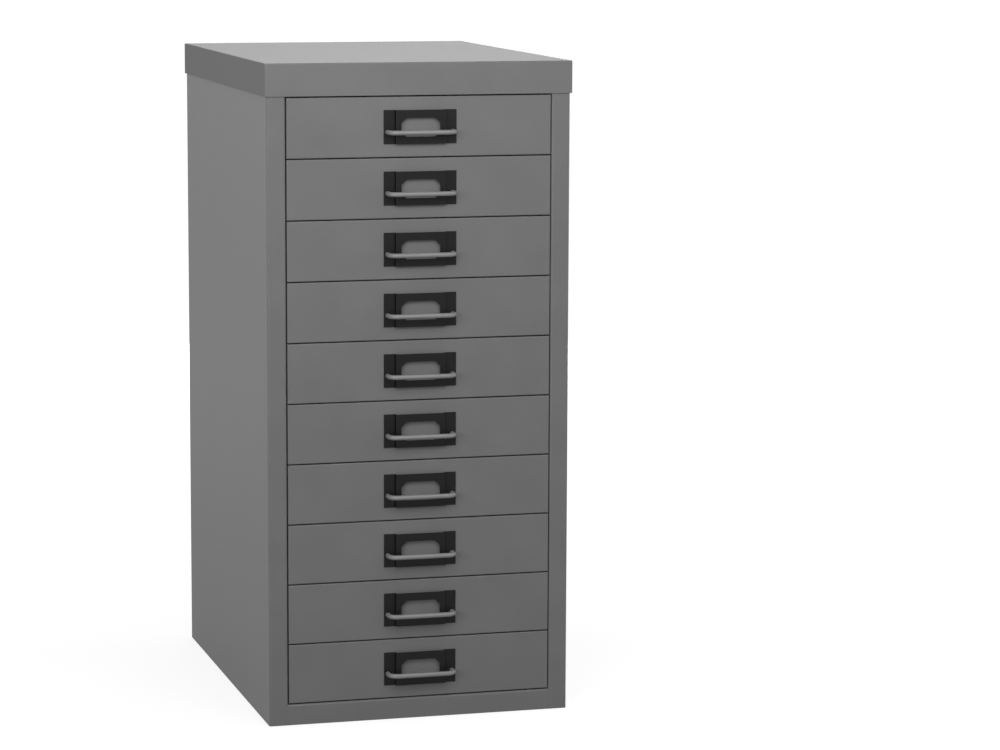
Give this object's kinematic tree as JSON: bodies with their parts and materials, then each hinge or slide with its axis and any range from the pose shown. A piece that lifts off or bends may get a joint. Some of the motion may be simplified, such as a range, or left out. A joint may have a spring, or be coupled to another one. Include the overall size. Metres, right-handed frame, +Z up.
{
  "type": "drawer cabinet",
  "caption": "Small folded-steel cabinet of shallow inset drawers under an overhanging lid, each drawer with a black card holder and a bent wire pull.",
  "frame": {"origin": "middle of the body's flat underside, on the floor", "axes": "+Z up, +Y from the drawer fronts to the back, +X to the right as seen from the front"},
  "size_m": [0.279, 0.3937, 0.59],
  "materials": {
    "grey_paint": "satin",
    "tray_paint": "satin",
    "inner_steel": "satin",
    "black_holder": "satin",
    "satin_wire": "satin"
  },
  "bodies": {
    "cabinet": {"top_panel": "grey_paint", "left_side_panel": "grey_paint", "right_side_panel": "grey_paint", "back_panel": "grey_paint", "base_panel": "grey_paint", "bottom_rail": "grey_paint", "top_rail": "grey_paint", "front_left_upright": "inner_steel", "front_right_upright": "inner_steel", "rear_left_upright": "inner_steel", "rear_right_upright": "inner_steel", "left_runners": "inner_steel", "right_runners": "inner_steel"},
    "drawer_01": {"drawer_tray_01": "tray_paint", "drawer_front_01": "grey_paint", "label_holder_01": "black_holder", "handle_01": "satin_wire"},
    "drawer_02": {"drawer_tray_02": "tray_paint", "drawer_front_02": "grey_paint", "label_holder_02": "black_holder", "handle_02": "satin_wire"},
    "drawer_03": {"drawer_tray_03": "tray_paint", "drawer_front_03": "grey_paint", "label_holder_03": "black_holder", "handle_03": "satin_wire"},
    "drawer_04": {"drawer_tray_04": "tray_paint", "drawer_front_04": "grey_paint", "label_holder_04": "black_holder", "handle_04": "satin_wire"},
    "drawer_05": {"drawer_tray_05": "tray_paint", "drawer_front_05": "grey_paint", "label_holder_05": "black_holder", "handle_05": "satin_wire"},
    "drawer_06": {"drawer_tray_06": "tray_paint", "drawer_front_06": "grey_paint", "label_holder_06": "black_holder", "handle_06": "satin_wire"},
    "drawer_07": {"drawer_tray_07": "tray_paint", "drawer_front_07": "grey_paint", "label_holder_07": "black_holder", "handle_07": "satin_wire"},
    "drawer_08": {"drawer_tray_08": "tray_paint", "drawer_front_08": "grey_paint", "label_holder_08": "black_holder", "handle_08": "satin_wire"},
    "drawer_09": {"drawer_tray_09": "tray_paint", "drawer_front_09": "grey_paint", "label_holder_09": "black_holder", "handle_09": "satin_wire"},
    "drawer_10": {"drawer_tray_10": "tray_paint", "drawer_front_10": "grey_paint", "label_holder_10": "black_holder", "handle_10": "satin_wire"}
  },
  "joints": [
    {"name": "drawer_01_slide", "type": "slide", "parent": "cabinet", "child": "drawer_01", "axis": [0, -1, 0], "range_m": [0, 0.285]},
    {"name": "drawer_02_slide", "type": "slide", "parent": "cabinet", "child": "drawer_02", "axis": [0, -1, 0], "range_m": [0, 0.285]},
    {"name": "drawer_03_slide", "type": "slide", "parent": "cabinet", "child": "drawer_03", "axis": [0, -1, 0], "range_m": [0, 0.285]},
    {"name": "drawer_04_slide", "type": "slide", "parent": "cabinet", "child": "drawer_04", "axis": [0, -1, 0], "range_m": [0, 0.285]},
    {"name": "drawer_05_slide", "type": "slide", "parent": "cabinet", "child": "drawer_05", "axis": [0, -1, 0], "range_m": [0, 0.285]},
    {"name": "drawer_06_slide", "type": "slide", "parent": "cabinet", "child": "drawer_06", "axis": [0, -1, 0], "range_m": [0, 0.285]},
    {"name": "drawer_07_slide", "type": "slide", "parent": "cabinet", "child": "drawer_07", "axis": [0, -1, 0], "range_m": [0, 0.285]},
    {"name": "drawer_08_slide", "type": "slide", "parent": "cabinet", "child": "drawer_08", "axis": [0, -1, 0], "range_m": [0, 0.285]},
    {"name": "drawer_09_slide", "type": "slide", "parent": "cabinet", "child": "drawer_09", "axis": [0, -1, 0], "range_m": [0, 0.285]},
    {"name": "drawer_10_slide", "type": "slide", "parent": "cabinet", "child": "drawer_10", "axis": [0, -1, 0], "range_m": [0, 0.285]}
  ]
}
